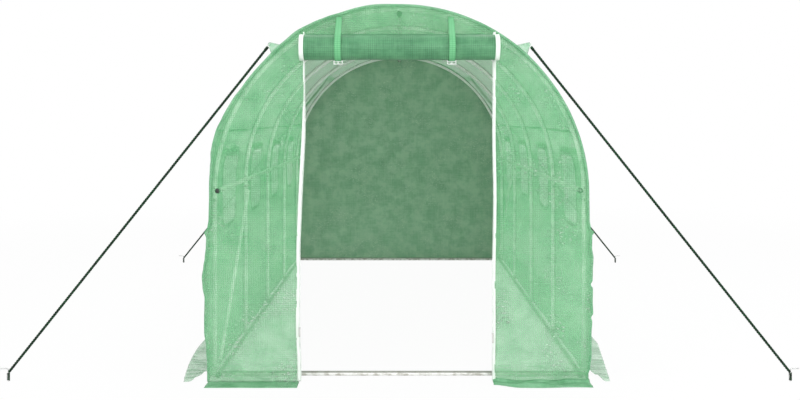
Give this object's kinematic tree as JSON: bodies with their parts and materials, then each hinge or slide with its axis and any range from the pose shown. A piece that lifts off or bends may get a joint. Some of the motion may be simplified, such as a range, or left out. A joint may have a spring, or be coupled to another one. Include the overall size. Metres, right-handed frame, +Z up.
{
  "type": "polytunnel greenhouse",
  "caption": "Walk-in garden tunnel: steel hoops under a green woven cover, with a roll-up door at one end and net windows along both sides.",
  "frame": {"origin": "on the ground at the centre of the plan", "axes": "+X across the tunnel to its right seen from the door end, +Y along the tunnel away from the door end, +Z up"},
  "size_m": [4.19, 4.426, 1.9757],
  "materials": {
    "frame_tube": "semi-gloss white powder coat",
    "black_plastic": "moulded, matt",
    "cover_sheet": "woven coated sheet, translucent green",
    "window_net": "fine insect net",
    "clear_curtain": "milky woven sheet, rolled",
    "rolled_sheet": "woven coated sheet, rolled",
    "strap_webbing": "flat woven webbing",
    "zip_tape": "woven tape with a plastic zip",
    "side_flap": "woven coated sheet, pale",
    "end_flap": "woven coated sheet",
    "guy_rope": "braided cord, dark green",
    "peg_steel": "bent wire, galvanised"
  },
  "bodies": {
    "root": {"left_leg_1": "frame_tube", "left_leg_2": "frame_tube", "left_leg_3": "frame_tube", "left_leg_4": "frame_tube", "left_leg_5": "frame_tube", "right_leg_1": "frame_tube", "right_leg_2": "frame_tube", "right_leg_3": "frame_tube", "right_leg_4": "frame_tube", "right_leg_5": "frame_tube", "arch_1": "frame_tube", "arch_2": "frame_tube", "arch_3": "frame_tube", "arch_4": "frame_tube", "arch_5": "frame_tube", "ridge_purlin": "frame_tube", "left_side_purlin": "frame_tube", "right_side_purlin": "frame_tube", "left_ground_rail": "frame_tube", "right_ground_rail": "frame_tube", "ground_bars": "frame_tube", "front_left_brace": "frame_tube", "rear_right_brace": "frame_tube", "tube_caps": "black_plastic", "roof_cover": "cover_sheet", "left_wall_cover": "cover_sheet", "right_wall_cover": "cover_sheet", "front_left_panel": "cover_sheet", "front_right_panel": "cover_sheet", "door_header": "cover_sheet", "guy_tabs": "cover_sheet", "rear_panel": "cover_sheet", "left_window_nets": "window_net", "right_window_nets": "window_net", "left_window_curtains": "clear_curtain", "right_window_curtains": "clear_curtain", "rolled_door": "rolled_sheet", "door_straps": "strap_webbing", "door_zips": "zip_tape", "left_ground_flap": "side_flap", "right_ground_flap": "side_flap", "front_ground_flaps": "end_flap", "rear_ground_flap": "end_flap", "guy_ropes": "guy_rope", "ground_pegs": "peg_steel"}
  },
  "joints": []
}
